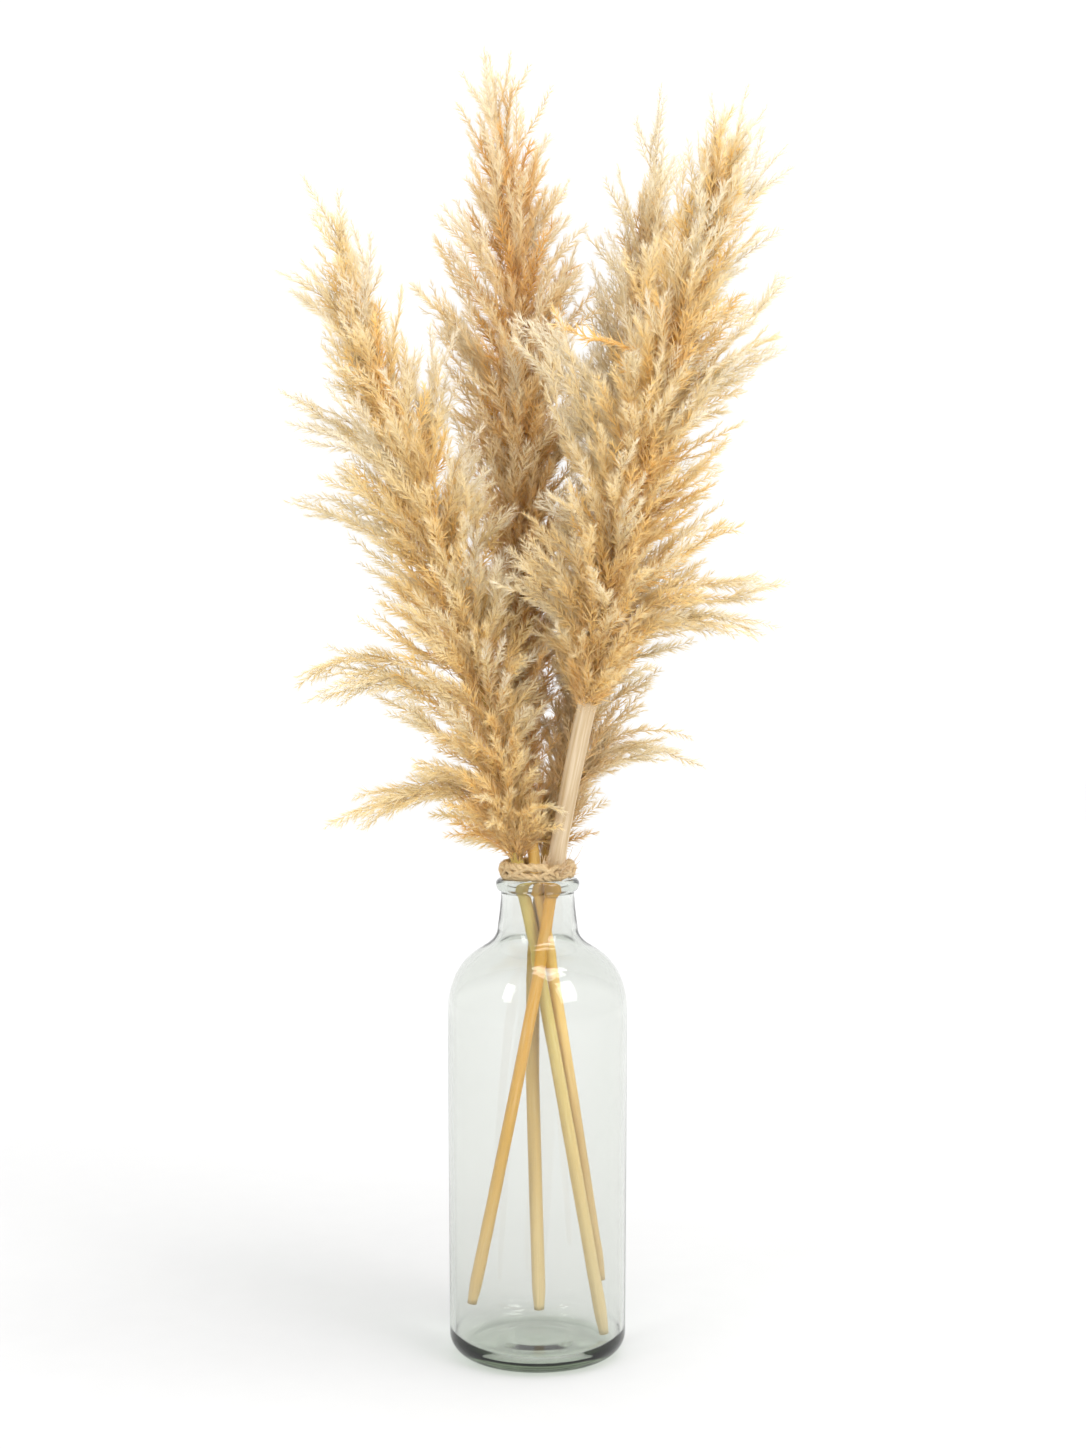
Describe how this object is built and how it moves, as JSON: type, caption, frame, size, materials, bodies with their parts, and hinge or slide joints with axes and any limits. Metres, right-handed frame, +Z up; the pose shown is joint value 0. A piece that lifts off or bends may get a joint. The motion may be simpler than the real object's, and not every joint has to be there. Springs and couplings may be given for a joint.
{
  "type": "bundle of dried pampas grass in a glass bottle vase",
  "caption": "Dried pampas grass plumes on cut stems, tied with twine and standing in a clear glass bottle vase.",
  "frame": {"origin": "centre of the flat underside of the vase", "axes": "+Z up along the vase's axis, -Y towards the front, +X to the right seen from the front"},
  "size_m": [0.3062, 0.161, 0.8173],
  "materials": {
    "glass": "gloss",
    "jute": "matte",
    "straw": "satin",
    "pale_leaf": "matte",
    "fluff": "matte"
  },
  "bodies": {
    "root": {"glass_vase": "glass", "tie_twine": "jute", "stem_left": "straw", "stem_centre": "straw", "stem_right": "straw", "stem_front": "straw", "leaf_sheath": "pale_leaf", "plume_front": "fluff", "plume_left": "fluff", "plume_centre": "fluff", "plume_right": "fluff"}
  },
  "joints": []
}
